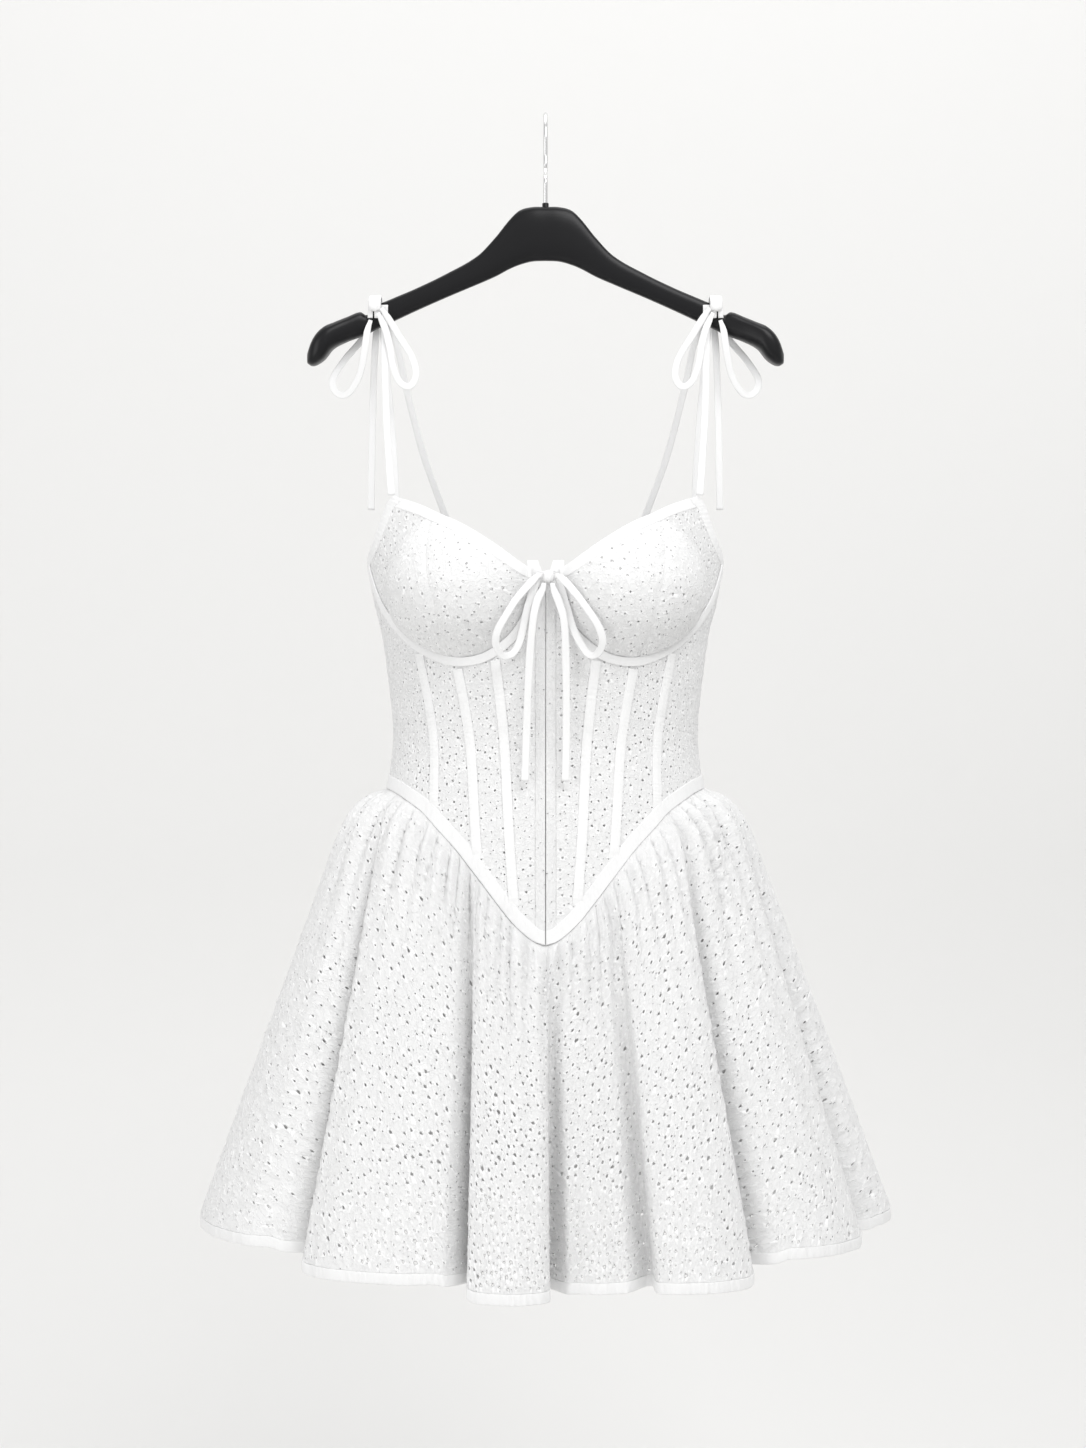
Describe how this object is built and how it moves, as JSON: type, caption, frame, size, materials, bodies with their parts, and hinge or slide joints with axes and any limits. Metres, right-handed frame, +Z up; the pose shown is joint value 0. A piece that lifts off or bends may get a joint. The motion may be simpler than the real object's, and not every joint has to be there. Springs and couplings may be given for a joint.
{
  "type": "corset dress on a hanger",
  "caption": "Short white eyelet cotton dress with a boned corset bodice, tied straps, a front bow and a full gathered skirt, filled out on a contoured black hanger with a steel hook.",
  "frame": {"origin": "inner crest of the hook, where it rests on the rail", "axes": "+Z up; the front of the dress faces -Y; +X to the right of someone who looks at its front"},
  "size_m": [0.6027, 0.4002, 1.0057],
  "materials": {
    "eyelet_cotton": "matt white cotton with embroidered eyelets",
    "cotton_tape": "matt white cotton tape and binding",
    "black_plastic": "satin black",
    "hook_steel": "polished"
  },
  "bodies": {
    "root": {"armhole_back_binding": "cotton_tape", "back_centre": "eyelet_cotton", "back_side_left": "eyelet_cotton", "back_side_right": "eyelet_cotton", "boning_channel_a_left": "cotton_tape", "boning_channel_a_right": "cotton_tape", "boning_channel_b_left": "cotton_tape", "boning_channel_b_right": "cotton_tape", "boning_channel_c_left": "cotton_tape", "boning_channel_c_right": "cotton_tape", "bow_knot": "cotton_tape", "bow_loop_left": "cotton_tape", "bow_loop_right": "cotton_tape", "bow_tail_left": "cotton_tape", "bow_tail_right": "cotton_tape", "cup_inner_left": "eyelet_cotton", "cup_inner_right": "eyelet_cotton", "cup_outer_left": "eyelet_cotton", "cup_outer_right": "eyelet_cotton", "eye_tape": "cotton_tape", "hanger_body": "black_plastic", "hanger_collar": "black_plastic", "hanger_hook": "hook_steel", "hem_band_back": "cotton_tape", "hem_band_front": "cotton_tape", "hook_tape": "cotton_tape", "neck_binding_left": "cotton_tape", "neck_binding_right": "cotton_tape", "panel_centre_left": "eyelet_cotton", "panel_centre_right": "eyelet_cotton", "panel_second_left": "eyelet_cotton", "panel_second_right": "eyelet_cotton", "panel_side_left": "eyelet_cotton", "panel_side_right": "eyelet_cotton", "panel_third_left": "eyelet_cotton", "panel_third_right": "eyelet_cotton", "placket_left": "eyelet_cotton", "placket_right": "eyelet_cotton", "skirt_back": "eyelet_cotton", "skirt_front": "eyelet_cotton", "strap_back_left": "cotton_tape", "strap_back_right": "cotton_tape", "strap_front_left": "cotton_tape", "strap_front_right": "cotton_tape", "tie_knot_left": "cotton_tape", "tie_knot_right": "cotton_tape", "tie_loop_inner_left": "cotton_tape", "tie_loop_inner_right": "cotton_tape", "tie_loop_outer_left": "cotton_tape", "tie_loop_outer_right": "cotton_tape", "tie_tail_inner_left": "cotton_tape", "tie_tail_inner_right": "cotton_tape", "tie_tail_outer_left": "cotton_tape", "tie_tail_outer_right": "cotton_tape", "underwire_channel_left": "cotton_tape", "underwire_channel_right": "cotton_tape", "waist_band_back": "cotton_tape", "waist_band_front_left": "cotton_tape", "waist_band_front_right": "cotton_tape"}
  },
  "joints": []
}
